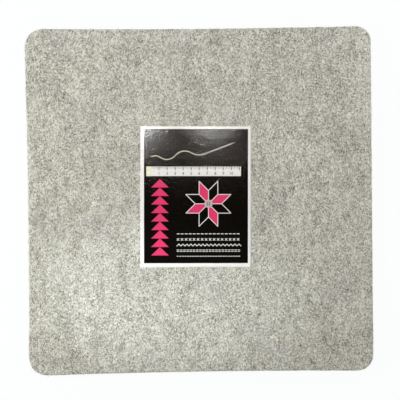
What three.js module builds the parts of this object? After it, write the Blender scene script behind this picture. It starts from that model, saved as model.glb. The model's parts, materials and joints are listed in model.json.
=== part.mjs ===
// Square wool felt pressing mat, lying flat, with a glossy printed paper label stuck on its upper face.
// Millimetres. The origin is the middle of the underside, +Z is up, and +Y points to the back edge.
import * as THREE from 'three';

// Felt slab
const matWidth = 431.8; // 17 in, along X
const matDepth = 431.8; // 17 in, along Y
const matThickness = 12.7; // 1/2 in
const cornerRadius = 22;
const edgeRound = 1.5; // softened cut edge, above and below

// How far the felt is drawn in half way along each side
const drawInFront = 1.8;
const drawInRight = 0;
const drawInBack = 1.5;
const drawInLeft = 1.8;

// Label, placed by hand a little off the middle and not quite square to the mat
const labelWidth = 138.3;
const labelHeight = 176;
const labelOffsetX = -5.1;
const labelOffsetY = 5.1;
const labelTurn = THREE.MathUtils.degToRad(-0.67);

// Layers of the label, from the felt up
const adhesiveThickness = 0.05;
const paperThickness = 0.15;
const inkThickness = 0.02;
const filmThickness = 0.05;
const layerGap = 0.01; // clearance under each layer
const adhesiveSetback = 1; // glue kept back from the paper's edges

// White border left around the printed panel
const borderLeft = 4.5;
const borderRight = 4.1;
const borderTop = 3.4;
const borderBottom = 5.2;

// Fineness of the slab's curves
const cornerSteps = 10;
const sideSteps = 12;
const edgeSteps = 4;

const feltFinish = new THREE.MeshStandardMaterial({ color: 0xb8b7ab, roughness: 0.95, metalness: 0 });
const adhesiveFinish = new THREE.MeshStandardMaterial({ color: 0xd8d2bc, roughness: 0.5, metalness: 0 });
const paperFinish = new THREE.MeshStandardMaterial({ color: 0xf5f4ee, roughness: 0.8, metalness: 0 });
const inkFinish = new THREE.MeshStandardMaterial({ color: 0x110e09, roughness: 0.4, metalness: 0 });
const filmFinish = new THREE.MeshStandardMaterial({
  color: 0xffffff,
  roughness: 0.2,
  metalness: 0,
  transparent: true,
  opacity: 0.1,
});

// Points of one side, seen from outside as running from left to right, drawn in along a parabola
function sidePoints(length, drawIn) {
  const points = [];
  for (let step = 1; step < sideSteps; step += 1) {
    const share = step / sideSteps;
    points.push(new THREE.Vector2((share - 0.5) * length, 4 * share * (1 - share) * drawIn));
  }
  return points;
}

// Points of the round corner at the right-hand end of that side, both ends included
function cornerPoints(length) {
  const centre = new THREE.Vector2(length / 2, cornerRadius);
  const points = [];
  for (let step = 0; step <= cornerSteps; step += 1) {
    const angle = (step / cornerSteps - 1) * (Math.PI / 2);
    const spoke = new THREE.Vector2(Math.cos(angle), Math.sin(angle));
    points.push(spoke.multiplyScalar(cornerRadius).add(centre));
  }
  return points;
}

// Plan of the felt, anticlockwise from the front side, each side carried round with its next corner
function feltPlan() {
  const middle = new THREE.Vector2(0, 0);
  const sides = [
    { span: matWidth, reach: matDepth / 2, drawIn: drawInFront },
    { span: matDepth, reach: matWidth / 2, drawIn: drawInRight },
    { span: matWidth, reach: matDepth / 2, drawIn: drawInBack },
    { span: matDepth, reach: matWidth / 2, drawIn: drawInLeft },
  ];
  const plan = [];
  sides.forEach(({ span, reach, drawIn }, index) => {
    const straight = span - 2 * cornerRadius;
    const run = [...sidePoints(straight, drawIn), ...cornerPoints(straight)];
    for (const point of run) {
      point.y -= reach;
      plan.push(point.rotateAround(middle, (index * Math.PI) / 2));
    }
  });
  return new THREE.Shape(plan);
}

function makeFelt() {
  const shape = new THREE.ExtrudeGeometry(feltPlan(), {
    depth: matThickness - 2 * edgeRound,
    bevelEnabled: true,
    bevelThickness: edgeRound,
    bevelSize: edgeRound,
    bevelOffset: -edgeRound,
    bevelSegments: edgeSteps,
  });
  const felt = new THREE.Mesh(shape, feltFinish);
  felt.name = 'felt_mat';
  felt.position.z = edgeRound;
  return felt;
}

// One flat layer of the label with its underside at the height base
function makeLayer(name, width, height, thickness, base, finish) {
  const layer = new THREE.Mesh(new THREE.BoxGeometry(width, height, thickness), finish);
  layer.name = name;
  layer.position.z = base + thickness / 2;
  return layer;
}

function makeLabel() {
  const adhesiveBase = matThickness + layerGap;
  const paperBase = adhesiveBase + adhesiveThickness + layerGap;
  const inkBase = paperBase + paperThickness + layerGap;
  const filmBase = inkBase + inkThickness + layerGap;

  const adhesiveWidth = labelWidth - 2 * adhesiveSetback;
  const adhesiveHeight = labelHeight - 2 * adhesiveSetback;
  const panelWidth = labelWidth - borderLeft - borderRight;
  const panelHeight = labelHeight - borderTop - borderBottom;

  const adhesive = makeLayer(
    'label_adhesive',
    adhesiveWidth,
    adhesiveHeight,
    adhesiveThickness,
    adhesiveBase,
    adhesiveFinish,
  );
  const paper = makeLayer('label_paper', labelWidth, labelHeight, paperThickness, paperBase, paperFinish);
  const print = makeLayer('label_print', panelWidth, panelHeight, inkThickness, inkBase, inkFinish);
  print.position.x = (borderLeft - borderRight) / 2;
  print.position.y = (borderBottom - borderTop) / 2;
  const film = makeLayer('label_film', labelWidth, labelHeight, filmThickness, filmBase, filmFinish);

  const label = new THREE.Group();
  label.add(adhesive, paper, print, film);
  label.position.set(labelOffsetX, labelOffsetY, 0);
  label.rotation.z = labelTurn;
  return label;
}

const pressingMat = new THREE.Group();
pressingMat.add(makeFelt(), makeLabel());

export default pressingMat;
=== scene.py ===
import json
import math
import bpy
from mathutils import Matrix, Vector, noise
from mathutils.bvhtree import BVHTree


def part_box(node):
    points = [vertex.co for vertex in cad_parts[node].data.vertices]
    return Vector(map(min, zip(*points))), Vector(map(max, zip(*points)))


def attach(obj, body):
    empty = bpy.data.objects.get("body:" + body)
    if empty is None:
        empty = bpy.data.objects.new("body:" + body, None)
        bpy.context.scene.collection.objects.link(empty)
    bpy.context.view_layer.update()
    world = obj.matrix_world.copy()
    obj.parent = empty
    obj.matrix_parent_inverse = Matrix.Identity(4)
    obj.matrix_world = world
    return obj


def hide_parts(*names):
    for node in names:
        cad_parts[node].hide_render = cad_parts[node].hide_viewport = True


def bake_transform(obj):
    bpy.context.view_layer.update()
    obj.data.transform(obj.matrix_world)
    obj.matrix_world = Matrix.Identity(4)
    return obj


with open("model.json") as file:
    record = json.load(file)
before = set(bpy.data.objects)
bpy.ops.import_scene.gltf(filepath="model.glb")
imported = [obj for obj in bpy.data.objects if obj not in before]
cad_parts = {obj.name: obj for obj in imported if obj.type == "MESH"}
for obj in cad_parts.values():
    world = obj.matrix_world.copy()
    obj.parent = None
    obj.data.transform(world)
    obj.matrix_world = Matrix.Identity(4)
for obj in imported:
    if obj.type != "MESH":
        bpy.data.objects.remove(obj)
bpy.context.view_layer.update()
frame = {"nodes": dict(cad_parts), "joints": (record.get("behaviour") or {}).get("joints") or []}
mm = 0.001
up = Vector((0, 0, 1))
scene = bpy.context.scene


# Small helpers for nodes, meshes and pieces

def linear(hexCode):  # sRGB hex to linear RGBA
    shares = [int(hexCode[i:i + 2], 16) / 255 for i in (1, 3, 5)]
    return [s / 12.92 if s <= 0.04045 else ((s + 0.055) / 1.055) ** 2.4 for s in shares] + [1.0]


def addNode(tree, kind, settings=None, inputs=None):  # an input is a value, a socket or another node
    node = tree.nodes.new(kind)
    for name, value in (settings or {}).items():
        setattr(node, name, value)
    for name, value in (inputs or {}).items():
        byName = [s for s in node.inputs if name in (s.identifier, s.name)]
        socket = node.inputs[name] if isinstance(name, int) else byName[0]
        if isinstance(value, bpy.types.Node):
            value = value.outputs[0]
        if isinstance(value, bpy.types.NodeSocket):
            tree.links.new(value, socket)
        else:
            socket.default_value = value
    return node


def startMaterial(name):
    material = bpy.data.materials.new(name)
    material.use_nodes = True
    material.node_tree.nodes.clear()
    return material, material.node_tree


def endMaterial(material, shader):
    addNode(material.node_tree, "ShaderNodeOutputMaterial", inputs={"Surface": shader})
    return material


def startTree(name, inputs):  # inputs maps each type of socket to the names of that type
    tree = bpy.data.node_groups.new(name, "GeometryNodeTree")
    tree.interface.new_socket("Geometry", in_out="INPUT", socket_type="NodeSocketGeometry")
    for kind, labels in inputs.items():
        for label in labels:
            tree.interface.new_socket(label, in_out="INPUT", socket_type="NodeSocket" + kind)
    tree.interface.new_socket("Geometry", in_out="OUTPUT", socket_type="NodeSocketGeometry")
    return tree, addNode(tree, "NodeGroupInput").outputs


def endTree(tree, geometry, material):
    realized = addNode(tree, "GeometryNodeRealizeInstances", inputs={"Geometry": geometry})
    finish = {"Geometry": realized, "Material": material}
    dressed = addNode(tree, "GeometryNodeSetMaterial", inputs=finish)
    addNode(tree, "NodeGroupOutput", inputs={"Geometry": dressed})


def meshFromTree(tree, values, base=None):  # runs a tree on a passing object and keeps only its mesh
    carrier = bpy.data.objects.new("carrier", base or bpy.data.meshes.new("blank"))
    scene.collection.objects.link(carrier)
    modifier = carrier.modifiers.new("nodes", "NODES")
    modifier.node_group = tree
    for item in tree.interface.items_tree:
        if item.in_out == "INPUT" and item.name in values:
            modifier[item.identifier] = values[item.name]
    depsgraph = bpy.context.evaluated_depsgraph_get()
    made = carrier.evaluated_get(depsgraph)
    mesh = bpy.data.meshes.new_from_object(made, preserve_all_data_layers=True, depsgraph=depsgraph)
    bpy.data.objects.remove(carrier)
    return mesh


def addPiece(name, mesh, material, slotName, body=None, smooth=True):
    piece = bpy.data.objects.new(name, mesh)
    scene.collection.objects.link(piece)
    mesh.name = name
    if not mesh.materials:
        mesh.materials.append(material)
    mesh.polygons.foreach_set("use_smooth", [smooth] * len(mesh.polygons))
    if body:
        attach(piece, body)
    return piece


def noiseShare(x, y, z):  # smooth noise from 0 to 1
    return 0.5 + 0.5 * noise.noise(Vector((x, y, z)))


def smoothShare(value, start, end):  # 0 before start, 1 after end, and smooth between
    share = min(1, max(0, (value - start) / (end - start)))
    return share * share * (3 - 2 * share)


def gridRim(columns, rows):  # the outer points of a grid, anticlockwise from its first
    row = columns + 1
    front = list(range(columns))
    right = [columns + row * j for j in range(rows)]
    back = [row * rows + columns - i for i in range(columns)]
    left = [row * (rows - j) for j in range(rows)]
    return front + right + back + left


def slabFaces(columns, rows, above, below):  # two like grids, by their first points, facing outwards
    row = columns + 1
    faces = []
    for j in range(rows):
        for i in range(columns):
            a, b = above + j * row + i, below + j * row + i
            faces.append((a, a + 1, a + row + 1, a + row))
            faces.append((b, b + row, b + row + 1, b + 1))
    return faces


def wallFaces(loops):  # bands between closed loops, from the top one down
    faces = []
    for above, below in zip(loops, loops[1:]):
        for k in range(len(above)):
            n = (k + 1) % len(above)
            faces.append((above[k], below[k], below[n], above[n]))
    return faces


# Camera, straight above and leaning a degree, as the photograph was taken

cameraLook = {
    "height": 1300 * mm,
    "across": -27.7 * mm,
    "along": 26.5 * mm,
    "lean": (-1.114, -1.247, -0.666),  # degrees about X, Y and Z
    "fieldWidth": 503.6 * mm,  # what the frame takes in at floor height
    "sensor": 36.0,  # millimetres
}
lens = bpy.data.cameras.new("photoCamera")
lens.sensor_width = cameraLook["sensor"]
lens.lens = cameraLook["sensor"] * cameraLook["height"] / cameraLook["fieldWidth"]
camera = bpy.data.objects.new("photoCamera", lens)
camera.location = (cameraLook["across"], cameraLook["along"], cameraLook["height"])
camera.rotation_euler = [math.radians(a) for a in cameraLook["lean"]]
scene.collection.objects.link(camera)
scene.camera = camera
scene.view_settings.view_transform = "Standard"
print("camera placed")


# Where the label lies: its hinge is the middle of its top edge

labelLook = {
    "waveSize": 34 * mm,  # the felt's unevenness shows through the stuck sheet
    "waveHeight": 0.2 * mm,
    "waveSeed": 75.11,
    "cell": 2.0 * mm,
    "bend": 14 * mm,  # how much of the sheet curls along the line where it peels
    "bendCell": 0.7 * mm,
    "pebble": 2.6 * mm,  # finer unevenness pressed through ink and film, which breaks up the glare
}
peelJoint = next(j for j in frame["joints"] if j["name"] == "label_peel")
hinge = Vector(peelJoint["pos_m"])
labelRight = -Vector(peelJoint["axis"]).normalized()
labelUp = up.cross(labelRight)


def onLabel(point):  # how far a point lies to the right of the hinge, and up from it
    away = point - hinge
    return away.dot(labelRight), away.dot(labelUp)


def labelExtent(node):  # left, right, bottom, top, low, high in the label's own directions
    points = [v.co for v in frame["nodes"][node].data.vertices]
    across, along = zip(*(onLabel(p) for p in points))
    heights = [p.z for p in points]
    return min(across), max(across), min(along), max(along), min(heights), max(heights)


paperExtent = labelExtent("label_paper")


def sheetWave(across, along):
    size = labelLook["waveSize"]
    return labelLook["waveHeight"] * noiseShare(across / size, along / size, labelLook["waveSeed"])


def labelPoint(across, along, height):
    flat = hinge + labelRight * across + labelUp * along
    return Vector((flat.x, flat.y, height + sheetWave(across, along)))


# Felt slab: the outline is read off the CAD wall, then softened, pressed and lightly uneven

feltLook = {
    "cells": 200,  # along each side of each face
    "edgeRound": 1.9 * mm,
    "roundSteps": 4,
    "wallSteps": 7,
    "smoothing": 3,  # passes over the outline
    "wander": 0.22 * mm,  # how far the cut edge strays
    "wanderSize": 26 * mm,
    "wanderSeed": 0.7,
    "cornerFill": {  # how much fuller each corner was cut by hand, by the signs of its X and Y
        (1, 1): 1.4 * mm,
        (1, -1): 1.0 * mm,
        (-1, 1): -0.4 * mm,
        (-1, -1): 0.0,
    },
    "cornerReach": (0.88, 0.965),  # where the fill starts and is full, as shares of the half width
    "crest": 0.25 * mm,  # how far the nap stands over the nominal face
    "swell": (0.45 * mm, 120 * mm),  # depth and size of the broad unevenness
    "lump": (0.16 * mm, 15 * mm),
    "tuft": (0.14 * mm, 6 * mm),
    "upperSeed": 1.7,
    "seedStep": 3.1,  # between one unevenness and the next
    "seat": 0.03 * mm,  # clearance under the label's glue
    "seatEdge": (1.5 * mm, 8 * mm),  # how far outside the label its pressed seat starts and ends its rise
    "underLump": (0.12 * mm, 15 * mm),
    "underFade": 20,  # the lumps below are full from a twentieth of the way in
    "underSeed": 5.9,
    "layer": {  # batts showing at the cut edge
        "depth": 0.35 * mm,
        "size": 2.4 * mm,
        "run": 6,  # how much longer than thick they show
        "pull": (0.5, 0.35, 0.15),  # shares of the depth: all round, by layers, and ragged
        "raggedSeed": 9.2,
    },
}
feltLow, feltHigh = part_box("felt_mat")


def unevenness(x, y, seed, parts):  # always positive, summed over (depth, size) pairs
    total = 0.0
    for index, (depth, size) in enumerate(parts):
        total += depth * noiseShare(x / size, y / size, seed + feltLook["seedStep"] * index)
    return total


def feltRise(x, y):  # the upper face over the nominal one: free nap, or pressed flat under the label
    parts = [feltLook[k] for k in ("swell", "lump", "tuft")]
    free = feltLook["crest"] - unevenness(x, y, feltLook["upperSeed"], parts)
    across, along = onLabel(Vector((x, y, 0)))
    left, right, bottom, top, _, _ = paperExtent
    outside = math.hypot(max(left - across, across - right, 0), max(bottom - along, along - top, 0))
    share = smoothShare(outside, *feltLook["seatEdge"])
    return share * free + (1 - share) * (sheetWave(across, along) - feltLook["seat"])


def squareSpot(side, share):  # a point on the unit square, anticlockwise from the front left corner
    t = 2 * share - 1
    return ((t, -1), (1, t), (-t, 1), (-1, -t))[side]


def cornerFill(point):
    x, y = point.x / feltHigh.x, point.y / feltHigh.y
    near = smoothShare(min(abs(x), abs(y)), *feltLook["cornerReach"])
    return near * feltLook["cornerFill"][round(math.copysign(1, x)), round(math.copysign(1, y))]


def feltOutline(cells):
    cad = frame["nodes"]["felt_mat"].data
    wall = BVHTree.FromPolygons([v.co for v in cad.vertices], [p.vertices for p in cad.polygons])
    middle = (feltLow.z + feltHigh.z) / 2
    reach = (feltHigh - feltLow).length
    loop = []
    for index in range(4 * cells):
        away = Vector((*squareSpot(index // cells, index % cells / cells), 0)).normalized()
        loop.append(wall.ray_cast(away * reach + up * middle, -away)[0])
    for _ in range(feltLook["smoothing"]):
        loop = [(loop[i - 1] + 2 * p + loop[(i + 1) % len(loop)]) / 4 for i, p in enumerate(loop)]
    outward = []
    for index in range(len(loop)):
        along = loop[(index + 1) % len(loop)] - loop[index - 1]
        outward.append(along.cross(up).normalized())
    for index, point in enumerate(loop):
        spot = Vector((point.x, point.y, feltLook["wanderSeed"])) / feltLook["wanderSize"]
        stray = feltLook["wander"] * (noise.noise(spot) - 0.5)  # mostly inwards
        point += outward[index] * (stray + cornerFill(point))
    return loop, outward


def feltProfile():  # (inset, height, share of the top's unevenness) down the rounded edge
    turn = feltLook["edgeRound"]
    top, low = feltHigh.z, feltLow.z
    rings = []
    for step in range(1, feltLook["roundSteps"] + 1):
        angle = math.pi / 2 * step / feltLook["roundSteps"]
        rings.append((turn * (1 - math.sin(angle)), top - turn * (1 - math.cos(angle))))
    for step in range(1, feltLook["wallSteps"]):
        share = step / feltLook["wallSteps"]
        rings.append((0, top - turn - (top - low - 2 * turn) * share))
    for step in range(feltLook["roundSteps"]):
        angle = math.pi / 2 * step / feltLook["roundSteps"]
        rings.append((turn * (1 - math.cos(angle)), low + turn * (1 - math.sin(angle))))
    return [(inset, height, (height - low) / (top - low)) for inset, height in rings]


def feltWall(loop, outward):  # rings of points down the cut edge
    layer = feltLook["layer"]
    size, run = layer["size"], layer["run"]
    even, layered, ragged = layer["pull"]
    rings = []
    for inset, height, share in feltProfile():
        ring = []
        for spot, away in zip(loop, outward):
            batt = Vector((spot.x / size / run, spot.y / size / run, height / size))
            tear = Vector((spot.x / size, spot.y / size, height / size + layer["raggedSeed"]))
            pull = even + layered * noise.noise(batt) + ragged * noise.noise(tear)
            place = spot - away * (inset + layer["depth"] * pull)
            rise = share * feltRise(place.x, place.y)
            ring.append((place.x, place.y, max(height + rise, feltLow.z)))
        rings.append(ring)
    return rings


def faceSpot(u, v, cells, rim):  # a place on the square from -1 to 1, drawn out to the rim by rings
    ring = max(abs(u), abs(v))
    if ring == 0:
        return Vector((0, 0, 0))
    u, v = u / ring, v / ring
    if v == -1 and u < 1:
        place = (u + 1) / 2
    elif u == 1 and v < 1:
        place = 1 + (v + 1) / 2
    elif v == 1 and u > -1:
        place = 2 + (1 - u) / 2
    else:
        place = 3 + (1 - v) / 2
    place *= cells
    first = math.floor(place) % len(rim)
    return rim[first].lerp(rim[(first + 1) % len(rim)], place - math.floor(place)) * ring


def faceSpots(cells, rim):  # each point of a face's grid, and how far in from the rim it lies, 0 to 1
    for j in range(cells + 1):
        for i in range(cells + 1):
            u, v = 2 * i / cells - 1, 2 * j / cells - 1
            yield faceSpot(u, v, cells, rim), 1 - max(abs(u), abs(v))


def makeFeltMesh():
    cells = feltLook["cells"]
    loop, outward = feltOutline(cells)
    rim = [p - n * feltLook["edgeRound"] for p, n in zip(loop, outward)]
    points = [(p.x, p.y, feltHigh.z + feltRise(p.x, p.y)) for p, _ in faceSpots(cells, rim)]
    loops = [gridRim(cells, cells)]
    for ring in feltWall(loop, outward):
        loops.append(range(len(points), len(points) + len(ring)))
        points += ring
    lower = len(points)
    loops.append([lower + i for i in loops[0]])
    for spot, inner in faceSpots(cells, rim):
        lumps = unevenness(spot.x, spot.y, feltLook["underSeed"], [feltLook["underLump"]])
        points.append((spot.x, spot.y, feltLow.z + lumps * min(1, inner * feltLook["underFade"])))
    mesh = bpy.data.meshes.new("feltMat")
    mesh.from_pydata(points, [], slabFaces(cells, cells, 0, lower) + wallFaces(loops))
    return mesh


# Wool materials

woolLook = {
    "middle": 0.578,  # mean place on the ramp of shades
    "layers": {  # size in millimetres, weight in the heather, and how far carding drew it out along Y
        "speck": (1.3, 1.8, 1.6),
        "fleck": (2.0, 0.3, 1.6),
        "tuft": (4.2, 0.24, 1.7),
        "clump": (10.0, 0.44, 2.0),
        "cloud": (22.0, 0.39, 2.4),
        "drift": (48.0, 0.27, 1.8),
    },
    "grain": {"Detail": 1.0, "Roughness": 0.55},
    "hairSize": (6.2, 1.05, 1.05),  # millimetres along and across one bend of a hair
    "hairGrain": {"Detail": 1.0, "Distortion": 0.6},
    "hairs": {  # breadth of the line, how far it lifts the shade, and the degrees it is laid at
        "pale": (0.05, 0.28, (18, 76, 118)),
        "dark": (0.042, -0.6, (47, 95, 152)),
    },
    "shades": (
        (0.0, "#5D594B"),
        (0.3, "#B5B2A3"),
        (0.55, "#D0CDC1"),
        (0.8, "#E3E3D5"),
        (1.0, "#F2F3E8"),
    ),
    "bloom": {  # faintly lilac patches
        "size": 30 * mm,
        "share": {"From Min": 0.52, "From Max": 0.75, "To Max": 0.45},
        "tint": "#EDEBF4",
    },
    "nap": {"Distance": 0.35 * mm, "Strength": 0.35},
    "loose": ((0.0, "#625E52"), (0.35, "#A39F92"), (0.7, "#C9C7BB"), (1.0, "#E6E5DB")),
}


def setShades(node, shades):  # fills a colour ramp
    ramp = node.color_ramp.elements
    while len(ramp) < len(shades):
        ramp.new(0.5)
    for element, (place, shade) in zip(ramp, shades):
        element.position = place
        element.color = linear(shade)


def drawnNoise(tree, where, size, turn, grain):  # noise drawn out to a size in millimetres and turned
    laid = addNode(
        tree,
        "ShaderNodeMapping",
        {"vector_type": "TEXTURE"},
        {"Vector": where, "Rotation": (0, 0, math.radians(turn)), "Scale": [s * mm for s in size]},
    )
    return addNode(tree, "ShaderNodeTexNoise", {}, dict(grain, Vector=laid, Scale=1.0))


def woolHeather(tree, where):  # how light the wool is, from its grain and its single hairs
    layers = woolLook["layers"].values()
    total = woolLook["middle"] - 0.5 * sum(weight for _, weight, _ in layers)
    blend = {"operation": "MULTIPLY_ADD"}
    for size, weight, draw in layers:
        stretch = math.sqrt(draw)
        grain = drawnNoise(tree, where, (size / stretch, size * stretch, size), 0, woolLook["grain"])
        total = addNode(tree, "ShaderNodeMath", blend, {0: grain, 1: weight, 2: total})
    hairs = [(line, lift, turn) for line, lift, turns in woolLook["hairs"].values() for turn in turns]
    for line, lift, turn in hairs:  # each hair lies where a drawn-out noise passes its middle value
        grain = drawnNoise(tree, where, woolLook["hairSize"], turn, woolLook["hairGrain"])
        side = addNode(tree, "ShaderNodeMath", {"operation": "SUBTRACT"}, {0: grain, 1: 0.5})
        away = addNode(tree, "ShaderNodeMath", {"operation": "ABSOLUTE"}, {0: side})
        hair = addNode(
            tree,
            "ShaderNodeMapRange",
            {"interpolation_type": "SMOOTHSTEP"},
            {"Value": away, "From Min": 0.0, "From Max": line, "To Min": 1.0, "To Max": 0.0},
        )
        total = addNode(tree, "ShaderNodeMath", blend, {0: hair, 1: lift, 2: total})
    return total


def makeWoolFelt():
    # Pressed and needled wool felt: pale and dark grey fibres laid every way, matt, with a soft nap.
    # The fibres are a fiftieth of a millimetre thick, so specks and hairs are drawn coarser to show.
    material, tree = startMaterial("pressedWoolFelt")
    where = addNode(tree, "ShaderNodeTexCoord").outputs["Object"]
    lightness = woolHeather(tree, where)
    heather = addNode(tree, "ShaderNodeValToRGB", inputs={"Fac": lightness})
    setShades(heather, woolLook["shades"])
    bloom = woolLook["bloom"]
    spread = {"Vector": where, "Scale": 1 / bloom["size"], "Detail": 1.0}
    patches = addNode(tree, "ShaderNodeTexNoise", {}, spread)
    share = addNode(tree, "ShaderNodeMapRange", {}, dict(bloom["share"], Value=patches))
    tinted = addNode(
        tree,
        "ShaderNodeMix",
        {"data_type": "RGBA", "blend_type": "MULTIPLY"},
        {"Factor_Float": share, "A_Color": heather, "B_Color": linear(bloom["tint"])},
    )
    nap = addNode(tree, "ShaderNodeBump", {}, dict(woolLook["nap"], Height=lightness))
    finish = {
        "Base Color": tinted.outputs[2],
        "Roughness": 0.95,
        "IOR": 1.45,
        "Specular IOR Level": 0.15,
        "Sheen Weight": 0.12,
        "Sheen Roughness": 0.6,
        "Normal": nap,
    }
    return endMaterial(material, addNode(tree, "ShaderNodeBsdfPrincipled", {}, finish))


def makeLooseWool():
    # Single wool fibres standing off the felt: each is one shade, from charcoal to cream.
    material, tree = startMaterial("looseWoolFibre")
    tone = addNode(tree, "ShaderNodeAttribute", {"attribute_name": "tone"}).outputs["Fac"]
    shade = addNode(tree, "ShaderNodeValToRGB", inputs={"Fac": tone})
    setShades(shade, woolLook["loose"])
    finish = {"Base Color": shade, "Roughness": 0.8, "IOR": 1.54, "Specular IOR Level": 0.3}
    return endMaterial(material, addNode(tree, "ShaderNodeBsdfPrincipled", {}, finish))


# Loose fibres over the faces and the cut edge

fibreLook = {
    "thickness": 0.16 * mm,  # eight times a real fibre, so that it shows
    "sides": 3,
    "steps": 6,  # along its length
    # Fibres to the square metre, their length, and how many degrees they rise
    "faces": {"Density": 19000.0, "Length": 9 * mm, "Rise": 3.0, "Seed": 11, "Where": "faceFuzz"},
    "edge": {"Density": 150000.0, "Length": 3.2 * mm, "Rise": 9.0, "Seed": 29, "Where": "edgeFuzz"},
    "sizes": (0.55, 1.35),  # least and most of that length
    "roll": 0.4,  # radians to either side
    "seeds": {"size": 5, "bend": 7, "tone": 3},
    "root": (0, 0, -0.01),  # start of each fibre, as shares of its length
    "bends": (  # handle, handle and end of each fibre, as shares of its length
        ((0.30, 0.22, 0.03), (0.70, 0.25, 0.05), (0.92, -0.05, 0.00)),
        ((0.28, -0.25, 0.02), (0.66, 0.28, 0.05), (0.95, 0.12, -0.01)),
        ((0.35, 0.10, 0.04), (0.60, 0.48, 0.06), (0.62, 0.62, 0.01)),
        ((0.25, -0.12, 0.03), (0.72, -0.30, 0.03), (0.98, 0.02, -0.01)),
    ),
    "floorGap": 0.15 * mm,
    "pressed": 0.97,  # share of a drop below that gap which the floor takes up
    "labelMargin": 9 * mm,  # left bare around the label
    "rim": 9 * mm,  # along the edges, where only short fibres grow
    "rimShare": 0.12,  # of the cut edge's density
    "underShare": 0.45,  # of the upper face's density
    "level": 0.8,  # where the normal's height passes this, it is a face and not the edge
}


def paintFuzz(mesh):  # where loose fibres may grow: not under the label, and more at the cut edge
    left, right, bottom, top, _, _ = paperExtent
    margin, level = fibreLook["labelMargin"], fibreLook["level"]
    faceFuzz = []
    edgeFuzz = []
    for vertex in mesh.vertices:
        across, along = onLabel(vertex.co)
        covered = left - margin < across < right + margin and bottom - margin < along < top + margin
        facing = vertex.normal.z
        rim = max(abs(vertex.co.x), abs(vertex.co.y)) > feltHigh.x - fibreLook["rim"]
        upper = facing > level and not covered and not rim
        under = facing < -level and not rim
        faceFuzz.append(1.0 if upper else fibreLook["underShare"] if under else 0.0)
        edgeFuzz.append(1.0 if abs(facing) <= level else fibreLook["rimShare"] if rim else 0.0)
    for name, values in (("faceFuzz", faceFuzz), ("edgeFuzz", edgeFuzz)):
        mesh.attributes.new(name, "FLOAT", "POINT").data.foreach_set("value", values)


def bentFibres(tree, given):  # one fibre of each bend, to pick from
    radius = addNode(tree, "ShaderNodeMath", {"operation": "MULTIPLY"}, {0: given["Thickness"], 1: 0.5})
    around = {"Resolution": fibreLook["sides"], "Radius": radius}
    section = addNode(tree, "GeometryNodeCurvePrimitiveCircle", {}, around)
    kinds = addNode(tree, "GeometryNodeGeometryToInstance")
    for first, second, end in fibreLook["bends"]:
        line = addNode(
            tree,
            "GeometryNodeCurvePrimitiveBezierSegment",
            {"mode": "POSITION"},
            {
                "Resolution": fibreLook["steps"],
                "Start": fibreLook["root"],
                "Start Handle": first,
                "End Handle": second,
                "End": end,
            },
        )
        sized = addNode(tree, "GeometryNodeTransform", {}, {"Geometry": line, "Scale": given["Length"]})
        solid = {"Curve": sized, "Profile Curve": section, "Fill Caps": True}
        hair = addNode(tree, "GeometryNodeCurveToMesh", {}, solid)
        tree.links.new(hair.outputs[0], kinds.inputs[0])
    return kinds


def liftToFloor(tree, fibres, floorHeight):  # no fibre hangs below the floor
    place = addNode(tree, "GeometryNodeInputPosition")
    height = addNode(tree, "ShaderNodeSeparateXYZ", {}, {0: place}).outputs["Z"]
    short = addNode(tree, "ShaderNodeMath", {"operation": "SUBTRACT"}, {0: floorHeight, 1: height})
    sunk = addNode(tree, "ShaderNodeMath", {"operation": "MAXIMUM"}, {0: short, 1: 0.0})
    raised = addNode(
        tree, "ShaderNodeMath", {"operation": "MULTIPLY"}, {0: sunk, 1: fibreLook["pressed"]}
    )
    lift = addNode(tree, "ShaderNodeCombineXYZ", {}, {"Z": raised})
    return addNode(tree, "GeometryNodeSetPosition", {}, {"Geometry": fibres, "Offset": lift})


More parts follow.
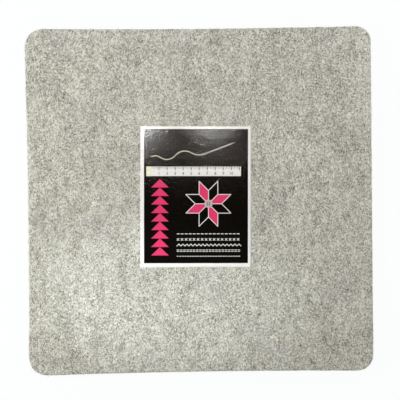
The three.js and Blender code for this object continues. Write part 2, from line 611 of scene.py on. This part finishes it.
def makeFibreTree(material):
    tree, given = startTree(
        "looseFibres",
        {
            "Float": ("Density", "Length", "Thickness", "Rise", "Floor"),
            "Int": ("Seed",),
            "String": ("Where",),
        },
    )
    seeds = fibreLook["seeds"]
    allowed = addNode(
        tree, "GeometryNodeInputNamedAttribute", {"data_type": "FLOAT"}, {"Name": given["Where"]}
    )
    thick = addNode(tree, "ShaderNodeMath", {"operation": "MULTIPLY"}, {0: given["Density"], 1: allowed})
    spread = addNode(
        tree,
        "GeometryNodeDistributePointsOnFaces",
        {"distribute_method": "RANDOM"},
        {"Mesh": given["Geometry"], "Density": thick, "Seed": given["Seed"]},
    )
    rise = addNode(tree, "ShaderNodeMath", {"operation": "RADIANS"}, {0: given["Rise"]})
    dip = addNode(tree, "ShaderNodeMath", {"operation": "MULTIPLY"}, {0: rise, 1: -1.0})
    roll = fibreLook["roll"]
    lowest = addNode(tree, "ShaderNodeCombineXYZ", {}, {"X": -roll, "Y": dip, "Z": 0.0})
    highest = addNode(tree, "ShaderNodeCombineXYZ", {}, {"X": roll, "Y": 0.0, "Z": 2 * math.pi})
    heading = addNode(
        tree,
        "FunctionNodeRandomValue",
        {"data_type": "FLOAT_VECTOR"},
        {"Min": lowest, "Max": highest, "Seed": given["Seed"]},
    )
    turned = addNode(
        tree,
        "FunctionNodeRotateRotation",
        {"rotation_space": "LOCAL"},
        {"Rotation": spread.outputs["Rotation"], "Rotate By": heading.outputs[0]},
    )
    least, most = fibreLook["sizes"]
    size = addNode(
        tree,
        "FunctionNodeRandomValue",
        {"data_type": "FLOAT"},
        {"Min_001": least, "Max_001": most, "Seed": seeds["size"]},
    )
    kind = addNode(
        tree,
        "FunctionNodeRandomValue",
        {"data_type": "INT"},
        {"Min_002": 0, "Max_002": len(fibreLook["bends"]) - 1, "Seed": seeds["bend"]},
    )
    placed = addNode(
        tree,
        "GeometryNodeInstanceOnPoints",
        {},
        {
            "Points": spread.outputs["Points"],
            "Instance": bentFibres(tree, given),
            "Pick Instance": True,
            "Instance Index": kind.outputs[2],
            "Rotation": turned,
            "Scale": size.outputs[1],
        },
    )
    shade = addNode(
        tree,
        "FunctionNodeRandomValue",
        {"data_type": "FLOAT"},
        {"Min_001": 0.0, "Max_001": 1.0, "Seed": seeds["tone"]},
    )
    toned = addNode(
        tree,
        "GeometryNodeStoreNamedAttribute",
        {"data_type": "FLOAT", "domain": "INSTANCE"},
        {"Geometry": placed, "Name": "tone", "Value": shade.outputs[1]},
    )
    loose = addNode(tree, "GeometryNodeRealizeInstances", {}, {"Geometry": toned})
    endTree(tree, liftToFloor(tree, loose, given["Floor"]), material)
    return tree


feltMesh = makeFeltMesh()
paintFuzz(feltMesh)
feltMat = addPiece("feltMat", feltMesh, makeWoolFelt(), "wool_felt", "mat")
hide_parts("felt_mat")
print("felt made,", len(feltMesh.polygons), "faces")

looseWool = makeLooseWool()
fibreTree = makeFibreTree(looseWool)
everyFibre = {"Thickness": fibreLook["thickness"], "Floor": feltLow.z + fibreLook["floorGap"]}
for name, where in (("faceFibres", "faces"), ("edgeFibres", "edge")):
    fibres = meshFromTree(fibreTree, dict(fibreLook[where], **everyFibre), feltMesh)
    addPiece(name, fibres, looseWool, "wool_felt", "mat")
    print(name, "made,", len(fibres.polygons), "faces")


# Label materials

inkLook = {
    "lift": 0.008 * mm,  # over the panel
    "height": 0.006 * mm,
    "mottle": 0.8 * mm,
    "inks": {  # material, the two shades it mottles between, roughness and depth of its pebble
        "white": ("whiteInk", ("#EFEEE9", "#F7F6F2"), 0.6, 0.0),
        "pink": ("pinkInk", ("#E63F70", "#EE4A7A"), 0.55, 0.0),
        "yellow": ("paleYellowInk", ("#EFEFCB", "#F6F6DA"), 0.6, 0.0),
        "silver": ("silverGreyInk", ("#BDB1B0", "#CFC5C4"), 0.45, 0.0),
        "black": ("blackInk", ("#0E0B07", "#110E0A"), 0.5, 2.0 * mm),  # far deeper than it is, to show
    },
}
paperLook = {
    "shades": ("#F5F4EE", "#FBFAF5"),
    "pulp": 1.2 * mm,
    "grain": {"Distance": 0.02 * mm, "Strength": 0.4},
}
glueLook = {
    "shades": ("#DDD6BF", "#EDE9DA"),
    "ripple": 3.5 * mm,
    "surface": {"Distance": 0.15 * mm, "Strength": 0.6},
}
filmLook = {
    "lift": 0.06 * mm,  # leaves room for the inks under the film
    "cell": 1.1 * mm,
    "peelSize": 4.5 * mm,  # the felt's tufts show through as orange peel in the gloss
    "peelHeight": 0.03 * mm,
    "peelSeed": 2.9,
    "pebble": 0.08 * mm,
    "blur": 0.108,
}


def pebbled(tree, depth):  # the same pattern in each layer of the label
    where = addNode(tree, "ShaderNodeTexCoord").outputs["Object"]
    grain = {"Vector": where, "Scale": 1 / labelLook["pebble"], "Detail": 2.0, "Roughness": 0.6}
    height = addNode(tree, "ShaderNodeTexNoise", {}, grain)
    return addNode(tree, "ShaderNodeBump", {}, {"Height": height, "Distance": depth})


def mottled(tree, size, detail, shades):  # a fine pattern, and a colour that wanders with it
    where = addNode(tree, "ShaderNodeTexCoord").outputs["Object"]
    grain = {"Vector": where, "Scale": 1 / size, "Detail": detail, "Roughness": 0.6}
    pattern = addNode(tree, "ShaderNodeTexNoise", {}, grain)
    ends = {"Factor_Float": pattern, "A_Color": linear(shades[0]), "B_Color": linear(shades[1])}
    return pattern, addNode(tree, "ShaderNodeMix", {"data_type": "RGBA"}, ends).outputs[2]


def makeInk(name, shades, roughness, pebbleDepth):
    # Offset ink on coated paper: an even film of colour with a faint mottle from the press.
    material, tree = startMaterial(name)
    _, colour = mottled(tree, inkLook["mottle"], 3.0, shades)
    finish = {
        "Base Color": colour,
        "Roughness": roughness,
        "Specular IOR Level": 0.0,
        "Normal": pebbled(tree, pebbleDepth),
    }
    return endMaterial(material, addNode(tree, "ShaderNodeBsdfPrincipled", {}, finish))


def makeLabelPaper():
    # Coated white label paper: smooth and nearly matt, with a faint grain of paper fibres.
    material, tree = startMaterial("coatedLabelPaper")
    pulp, colour = mottled(tree, paperLook["pulp"], 4.0, paperLook["shades"])
    finish = {
        "Base Color": colour,
        "Roughness": 0.7,
        "Specular IOR Level": 0.0,
        "Normal": addNode(tree, "ShaderNodeBump", {}, dict(paperLook["grain"], Height=pulp)),
    }
    return endMaterial(material, addNode(tree, "ShaderNodeBsdfPrincipled", {}, finish))


def makeLabelGlue():
    # Acrylic pressure-sensitive glue: a clear amber coat, glossy and slightly rippled.
    material, tree = startMaterial("acrylicLabelGlue")
    ripple, colour = mottled(tree, glueLook["ripple"], 3.0, glueLook["shades"])
    finish = {
        "Base Color": colour,
        "Roughness": 0.3,
        "IOR": 1.47,
        "Normal": addNode(tree, "ShaderNodeBump", {}, dict(glueLook["surface"], Height=ripple)),
    }
    return endMaterial(material, addNode(tree, "ShaderNodeBsdfPrincipled", {}, finish))


def makeGlossFilm():
    # Clear polypropylene over-laminate: it adds only a mirror gloss, a little blurred and pebbled.
    # The pebble of the film is finer than a millimetre, so it is drawn coarser to show.
    material, tree = startMaterial("clearGlossFilm")
    pebble = pebbled(tree, filmLook["pebble"])
    mirror = addNode(tree, "ShaderNodeFresnel", {}, {"IOR": 1.5})
    behind = addNode(tree, "ShaderNodeNewGeometry").outputs["Backfacing"]
    ahead = addNode(tree, "ShaderNodeMath", {"operation": "SUBTRACT"}, {0: 1.0, 1: behind})
    share = addNode(tree, "ShaderNodeMath", {"operation": "MULTIPLY"}, {0: mirror, 1: ahead})
    clear = addNode(tree, "ShaderNodeBsdfTransparent")
    gloss = addNode(
        tree,
        "ShaderNodeBsdfGlossy",
        {"distribution": "BECKMANN"},
        {"Color": (1, 1, 1, 1), "Roughness": filmLook["blur"], "Normal": pebble},
    )
    shader = addNode(tree, "ShaderNodeMixShader", {}, {0: share, 1: clear, 2: gloss})
    return endMaterial(material, shader)


# Label sheets, from the glue up

def rowLines(bottom, top, cell):  # closer where the sheet curls, on lines that all the sheets share
    fine = labelLook["bendCell"]
    count = math.ceil(labelLook["bend"] / fine)
    rest = -fine * count - bottom
    steps = max(1, round(rest / cell))
    lines = [bottom + rest * k / steps for k in range(steps + 1)]
    lines += [-fine * k for k in range(count - 1, -1, -1)]
    return [line for line in lines if line < top - fine / 4] + [top]


def sheetMesh(node, cell, low=None, high=None, peelHeight=0.0):
    left, right, bottom, top, cadLow, cadHigh = labelExtent(node)
    low = cadLow if low is None else low
    high = cadHigh if high is None else high
    columns = max(1, round((right - left) / cell))
    lines = rowLines(bottom, top, cell)
    rows = len(lines) - 1
    size, seed = filmLook["peelSize"], filmLook["peelSeed"]
    points = []
    for level in (low, high):
        for along in lines:
            for i in range(columns + 1):
                across = left + (right - left) * i / columns
                peel = peelHeight * noiseShare(across / size, along / size, seed)
                points.append(labelPoint(across, along, level + peel))
    upper = len(points) // 2
    rim = gridRim(columns, rows)
    faces = slabFaces(columns, rows, upper, 0) + wallFaces([[upper + i for i in rim], rim])
    mesh = bpy.data.meshes.new(node)
    mesh.from_pydata(points, [], faces)
    return mesh


inks = {colour: makeInk(*look) for colour, look in inkLook["inks"].items()}
*_, inkTop = labelExtent("label_print")
*_, filmBase, filmCrest = labelExtent("label_film")
filmLow = inkTop + filmLook["lift"]
filmSizes = (filmLook["cell"], filmLow, filmLow + filmCrest - filmBase, filmLook["peelHeight"])
plainSizes = (labelLook["cell"],)
sheets = (  # piece, node, material, slot and sizes
    ("labelGlue", "label_adhesive", makeLabelGlue(), "label_adhesive", plainSizes),
    ("labelPaper", "label_paper", makeLabelPaper(), "label_paper", plainSizes),
    ("labelPanel", "label_print", inks["black"], "label_ink", plainSizes),
    ("labelFilm", "label_film", makeGlossFilm(), "label_film", filmSizes),
)
for name, node, material, slotName, sizes in sheets:
    sheet = addPiece(name, sheetMesh(node, *sizes), material, slotName)
    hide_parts(node)
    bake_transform(sheet)
print("label sheets made")


# Printed design: quilt triangles, a patchwork star, a tape measure, stitches, needle and thread
# Its sizes are millimetres and radians from the middle of the panel

tape = {
    "left": -56.0,
    "middle": 31.0,
    "length": 112.0,
    "height": 12.0,
    "tip": 6.0,
    "marks": ((2.6, 2.0, 0.45), (4.4, 10.0, 0.9)),  # length, spacing and width, short ones and long ones
    "number": 5.0,
    "numberGap": 10.0,
    "numberLine": 0.27,  # share of the height
}
geese = {"across": -45.0, "bottom": -74.0, "width": 22.0, "height": 10.6, "count": 9}
star = {"across": 15.5, "along": -9.5, "side": 16.5, "line": 0.9}
button = {"radius": 5.2, "sides": 36, "hole": 0.75, "holeSides": 12, "reach": 1.75}
stitch = {
    "left": -24.0,
    "length": 80.0,
    "rows": {  # place up the panel, spacing, then a stitch's length, width, start and slope in degrees
        "running": (-47.0, 5.0, 3.4, 1.0, 1.7, 0),
        "crossRising": (-54.0, 5.0, 4.0, 0.8, 1.6, 45),
        "crossFalling": (-54.0, 5.0, 4.0, 0.8, 1.6, -45),
        "zigzagRising": (-61.0, 5.0, 4.3, 0.9, 1.4, 45),
        "zigzagFalling": (-61.0, 5.0, 4.3, 0.9, 3.9, -45),
        "doubleUpper": (-67.1, 4.0, 3.0, 0.8, 1.5, 0),
        "doubleLower": (-68.9, 4.0, 3.0, 0.8, 1.5, 0),
        "back": (-75.0, 3.2, 2.2, 0.9, 1.1, 0),
    },
}
needle = {"across": 26.0, "along": 58.5, "turn": 0.36, "half": 17.0, "girth": 1.5, "tip": 5.95}
eye = {"length": 3.0, "sides": 16, "hole": (1.9, 0.6), "holeSides": 12}
thread = {
    "width": 0.9,
    "piece": 1.5,
    "pitch": 1.125,  # less than a piece, so that they overlap
    "bends": ((18.0, -0.9), (16.0, 1.4), (14.0, -1.5), (9.0, 1.2)),  # radius and sweep
}
over = 1.6  # layer of an ink printed on another
panelLeft, panelRight, panelBottom, panelTop, _, _ = labelExtent("label_print")
panelAcross = (panelLeft + panelRight) / 2
panelAlong = (panelBottom + panelTop) / 2


def makePrintTree(material):  # flat shapes in a row, or round a ring when each is turned and reaches out
    tree, given = startTree(
        "printedShapes",
        {
            "Int": ("Count", "Corners", "Fineness"),
            "Float": ("Spin", "Turn", "TurnStep", "Reach", "Lean"),
            "Vector": ("Size", "Start", "Step"),
        },
    )
    shape = addNode(
        tree,
        "GeometryNodeMeshCylinder",
        {"fill_type": "NGON"},
        {"Vertices": given["Corners"], "Radius": 1.0, "Depth": 1.0},
    )
    spin = addNode(tree, "ShaderNodeCombineXYZ", {}, {"Z": given["Spin"]})
    spun = addNode(tree, "GeometryNodeTransform", {}, {"Geometry": shape, "Rotation": spin})
    sized = addNode(tree, "GeometryNodeTransform", {}, {"Geometry": spun, "Scale": given["Size"]})
    fine = addNode(tree, "GeometryNodeSubdivideMesh", {}, {"Mesh": sized, "Level": given["Fineness"]})
    line = addNode(
        tree,
        "GeometryNodeMeshLine",
        {"mode": "OFFSET", "count_mode": "TOTAL"},
        {"Count": given["Count"], "Start Location": given["Start"], "Offset": given["Step"]},
    )
    number = addNode(tree, "GeometryNodeInputIndex")
    turns = {0: number, 1: given["TurnStep"], 2: given["Turn"]}
    angle = addNode(tree, "ShaderNodeMath", {"operation": "MULTIPLY_ADD"}, turns)
    heading = addNode(tree, "ShaderNodeCombineXYZ", {}, {"Z": angle})
    arm = addNode(tree, "ShaderNodeCombineXYZ", {}, {"X": given["Reach"]})
    swing = {"Vector": arm, "Rotation": heading}
    swung = addNode(tree, "ShaderNodeVectorRotate", {"rotation_type": "EULER_XYZ"}, swing)
    moved = addNode(tree, "GeometryNodeSetPosition", {}, {"Geometry": line, "Offset": swung})
    facing = addNode(tree, "ShaderNodeMath", {"operation": "ADD"}, {0: angle, 1: given["Lean"]})
    facingTurn = addNode(tree, "ShaderNodeCombineXYZ", {}, {"Z": facing})
    copies = {"Points": moved, "Instance": fine, "Rotation": facingTurn}
    endTree(tree, addNode(tree, "GeometryNodeInstanceOnPoints", {}, copies), material)
    return tree


def shapeRun(corners, size, start, **more):  # start's third number is the ink's layer
    values = {"Corners": corners, "Size": (*size, 1.0), "Start": start, "Count": 1, "Step": (0, 0, 0)}
    values.update({"Spin": 0.0, "Turn": 0.0, "TurnStep": 0.0, "Reach": 0.0, "Lean": 0.0, "Fineness": 0})
    values.update(more)
    return values


def barRun(width, height, start, **more):  # a four-sided shape of that width and height
    half = math.sqrt(0.5)
    return shapeRun(4, (width * half, height * half), start, Spin=math.pi / 4, **more)


def numberMesh(number, size, place):  # a plain number standing on the tape
    words = bpy.data.curves.new("number", "FONT")
    words.body = str(number)
    words.size = size
    words.align_x = "CENTER"
    words.align_y = "CENTER"
    words.extrude = 0.5  # half a layer up and down
    holder = bpy.data.objects.new("number", words)
    scene.collection.objects.link(holder)
    depsgraph = bpy.context.evaluated_depsgraph_get()
    mesh = bpy.data.meshes.new_from_object(holder.evaluated_get(depsgraph))
    bpy.data.objects.remove(holder)
    for vertex in mesh.vertices:
        vertex.co += Vector(place)
    return mesh


def joinMeshes(name, meshes):
    points = []
    faces = []
    for mesh in meshes:
        first = len(points)
        points += [v.co.copy() for v in mesh.vertices]
        faces += [[first + v for v in p.vertices] for p in mesh.polygons]
    joined = bpy.data.meshes.new(name)
    joined.from_pydata(points, [], faces)
    return joined


def layInk(mesh):  # from the panel's flat millimetres to the label's surface
    level = inkTop + inkLook["lift"] + inkLook["height"] / 2
    for vertex in mesh.vertices:
        x, y, z = vertex.co
        height = level + z * inkLook["height"]
        vertex.co = labelPoint(panelAcross + x * mm, panelAlong + y * mm, height)
    mesh.update()


def tapeNumbers():
    line = tape["middle"] + (tape["numberLine"] - 0.5) * tape["height"]
    gap = tape["numberGap"]
    places = range(1, int(tape["length"] / gap))
    return [numberMesh(n, tape["number"], (tape["left"] + gap * n, line, over)) for n in places]


def tapeRuns():
    body = (tape["left"] + tape["length"] / 2, tape["middle"], 0)
    tip = (tape["left"] - tape["tip"] / 2, tape["middle"], 0)
    head = tape["middle"] + tape["height"] / 2
    marks = []
    for length, gap, width in tape["marks"]:
        start = (tape["left"] + gap, head - length / 2, over)
        count = math.ceil(tape["length"] / gap) - 1
        marks.append(barRun(width, length, start, Count=count, Step=(gap, 0, 0)))
    return {
        "white": [barRun(tape["length"], tape["height"], body, Fineness=5)],
        "yellow": [barRun(tape["tip"], tape["height"], tip, Fineness=3)],
        "black": marks,
    }


def geeseRuns():  # triangles flying up the left side
    radius = (geese["width"] / math.sqrt(3), geese["height"] / 1.5)  # of the circle round each
    row = {"Count": geese["count"], "Step": (0, geese["height"], 0)}
    start = (geese["across"], geese["bottom"] + geese["height"] / 3, 0)
    return {"pink": [shapeRun(3, radius, start, Spin=math.pi / 2, Fineness=4, **row)]}


def starRuns():  # eight diamonds outlined round a point, every other one filled, with a button on it
    eighth = math.pi / 4
    side = star["side"]
    middle = (star["across"], star["along"])
    out, aside = 1 + 0.5 * math.cos(eighth), 0.5 * math.sin(eighth)  # middle of an outer line, in sides
    far = side * math.hypot(out, aside)
    lean = math.atan2(aside, out)
    line = (side + star["line"] / 2, star["line"], (*middle, over))
    long, short = side * math.cos(eighth / 2), side * math.sin(eighth / 2)
    eight = {"Count": 8, "TurnStep": eighth, "Fineness": 3}
    four = {"Count": 4, "TurnStep": 2 * eighth}
    disc = (button["radius"], button["radius"])
    hole = (button["hole"], button["hole"])
    holes = {"Turn": eighth, "Reach": button["reach"], **four}
    return {
        "white": [
            barRun(*line, Reach=side / 2, **eight),
            barRun(*line, Turn=lean, Reach=far, Lean=eighth - lean, **eight),
            barRun(*line, Turn=eighth - lean, Reach=far, Lean=lean - eighth, **eight),
        ],
        "pink": [
            shapeRun(4, (long, short), (*middle, 0), Turn=eighth / 2, Reach=long, Fineness=3, **four)
        ],
        "silver": [shapeRun(button["sides"], disc, (*middle, 2 * over), Fineness=1)],
        "black": [shapeRun(button["holeSides"], hole, (*middle, 3 * over), **holes)],
    }


def stitchRuns():
    rows = []
    for along, gap, length, width, start, slope in stitch["rows"].values():
        row = {"Count": int(stitch["length"] / gap), "Step": (gap, 0, 0), "Turn": math.radians(slope)}
        rows.append(barRun(length, width, (stitch["left"] + start, along, 0), **row))
    return {"white": rows}


def threadRuns(at, heading):  # arcs of short pieces, each leading on from the last
    arcs = []
    for radius, sweep in thread["bends"]:
        side = math.copysign(1, sweep)
        centre = at + radius * Vector((-math.sin(heading), math.cos(heading))) * side
        first = heading - side * math.pi / 2
        count = max(2, int(abs(sweep) * radius / thread["pitch"]))
        arc = {"Count": count, "Turn": first, "TurnStep": sweep / (count - 1), "Reach": radius}
        arcs.append(barRun(thread["piece"], thread["width"], (*centre, 0), Lean=math.pi / 2, **arc))
        heading += sweep
        at = centre + radius * Vector((math.cos(first + sweep), math.sin(first + sweep)))
    return arcs


def needleRuns():
    turn, half, girth, tip = [needle[k] for k in ("turn", "half", "girth", "tip")]

    def along(reach, layer):
        across = needle["across"] + reach * math.cos(turn)
        return across, needle["along"] + reach * math.sin(turn), layer

    hole = along(-half, over)
    return {
        "silver": [
            barRun(2 * half, girth, along(0, 0), Turn=turn, Fineness=5),
            shapeRun(3, (tip, girth / math.sqrt(3)), along(half + tip / 2, 0), Turn=turn, Fineness=3),
            shapeRun(eye["sides"], (eye["length"], girth), along(-half, 0), Turn=turn, Fineness=1),
        ],
        "black": [shapeRun(eye["holeSides"], eye["hole"], hole, Turn=turn)],
        "yellow": threadRuns(Vector(hole[:2]), turn + math.pi),
    }


printTree = makePrintTree(inks["white"])
designs = (tapeRuns(), geeseRuns(), starRuns(), stitchRuns(), needleRuns())
for colour, ink in inks.items():
    parts = [meshFromTree(printTree, run) for design in designs for run in design.get(colour, [])]
    flat = joinMeshes(colour, parts + (tapeNumbers() if colour == "black" else []))
    layInk(flat)
    addPiece("print" + colour.capitalize(), flat, ink, "label_ink", "label", smooth=False)
print("print laid")


# Floor, world and lamps

floorLook = {"half": 8.0, "drop": 0.1 * mm, "matt": "#F4F4F4", "seen": "#FEFFFF", "seenShare": 0.95}
worldLook = {
    "horizon": 0.78,
    "zenith": {"From Min": 0.45, "From Max": 0.85, "To Max": 0.03},  # it darkens upwards
}


def seenRays(tree):  # 1 for what the camera sees, straight or mirrored, and 0 for the light it gives
    path = addNode(tree, "ShaderNodeLightPath").outputs
    seen = path["Is Camera Ray"]
    for other in ("Is Glossy Ray", "Is Transmission Ray"):
        seen = addNode(tree, "ShaderNodeMath", {"operation": "MAXIMUM"}, {0: seen, 1: path[other]})
    return seen


def makePaleFloor():
    # Plain white floor: it keeps the soft shadow and shows nearly white to the camera.
    material, tree = startMaterial("paleFloor")
    share = addNode(
        tree, "ShaderNodeMath", {"operation": "MULTIPLY"}, {0: seenRays(tree), 1: floorLook["seenShare"]}
    )
    matt = addNode(tree, "ShaderNodeBsdfDiffuse", {}, {"Color": linear(floorLook["matt"])})
    white = addNode(tree, "ShaderNodeEmission", {}, {"Color": linear(floorLook["seen"]), "Strength": 1.0})
    shader = addNode(tree, "ShaderNodeMixShader", {}, {0: share, 1: matt, 2: white})
    return endMaterial(material, shader)


def makeStudioWorld():
    world = bpy.data.worlds.new("softStudio")
    world.use_nodes = True
    tree = world.node_tree
    tree.nodes.clear()
    ray = addNode(tree, "ShaderNodeTexCoord").outputs["Generated"]
    height = addNode(tree, "ShaderNodeSeparateXYZ", {}, {0: ray}).outputs["Z"]
    white = addNode(
        tree, "ShaderNodeMath", {"operation": "MAXIMUM"}, {0: seenRays(tree), 1: worldLook["horizon"]}
    )
    level = addNode(
        tree,
        "ShaderNodeMapRange",
        {"interpolation_type": "SMOOTHSTEP"},
        {"Value": height, "To Min": white, **worldLook["zenith"]},
    )
    sky = addNode(tree, "ShaderNodeBackground", {}, {"Color": (1, 1, 1, 1), "Strength": level})
    addNode(tree, "ShaderNodeOutputWorld", inputs={"Surface": sky})
    return world


half = floorLook["half"]
corners = [(-half, -half), (half, -half), (half, half), (-half, half)]
floorMesh = bpy.data.meshes.new("floor")
floorMesh.from_pydata([(x, y, feltLow.z - floorLook["drop"]) for x, y in corners], [], [(0, 1, 2, 3)])
floorMesh.materials.append(makePaleFloor())
floor = bpy.data.objects.new("floor", floorMesh)
scene.collection.objects.link(floor)
scene.world = makeStudioWorld()

poolLook = {"at": (-1.10, -0.021, 0.627), "soft": 0.02, "shade": "#EFFAFF"}  # shared by both pool lamps
lampLook = {  # places and sizes in metres, cones in degrees
    "ceilingGlow": {
        "at": (-0.047, 0.278, 1.34),
        "size": (0.405, 0.445),
        "watts": 0.51,
        "shade": "#FFEFE4",
    },
    "cornerStrip": {"at": (-0.145, 0.21, 1.32), "size": (0.04, 0.10), "watts": 1.8},
    "cornerSpill": {"at": (-0.145, 0.125, 1.32), "size": (0.05, 0.06), "watts": 0.1},
    "edgeStrip": {"at": (0.052, 0.205, 1.32), "size": (0.045, 0.10), "watts": 0.25},
    "edgeSpill": {"at": (0.067, 0.13, 1.32), "size": (0.07, 0.05), "watts": 0.03},
    "leftSoftbox": {
        "at": (-0.80, 0.058, 0.55),
        "aim": (-0.05, 0, 0),
        "size": (0.6, 0.6),
        "watts": 5.56,
    },
    "backSoftbox": {
        "at": (0.566, 0.419, 0.45),
        "aim": (0.05, 0.1, 0),
        "size": (0.6, 0.4),
        "watts": 1.55,
    },
    "poolSpot": dict(poolLook, aim=(-0.039, -0.122, 0), cone=10.2, watts=41),
    "poolCore": dict(poolLook, aim=(-0.085, -0.145, 0), cone=6.4, watts=11),
}
for name, look in lampLook.items():
    lamp = bpy.data.lights.new(name, "SPOT" if "cone" in look else "AREA")
    lamp.energy = look["watts"]
    lamp.color = linear(look.get("shade", "#FFFFFF"))[:3]
    if "cone" in look:
        lamp.spot_size = math.radians(look["cone"])
        lamp.spot_blend = 1.0
        lamp.shadow_soft_size = look["soft"]
    else:
        lamp.shape = "RECTANGLE"
        lamp.size, lamp.size_y = look["size"]
    holder = bpy.data.objects.new(name, lamp)
    holder.location = look["at"]
    below = (*look["at"][:2], 0)
    towards = Vector(look.get("aim", below)) - Vector(look["at"])
    holder.rotation_euler = towards.to_track_quat("-Z", "Y").to_euler()
    scene.collection.objects.link(holder)
print("lit")
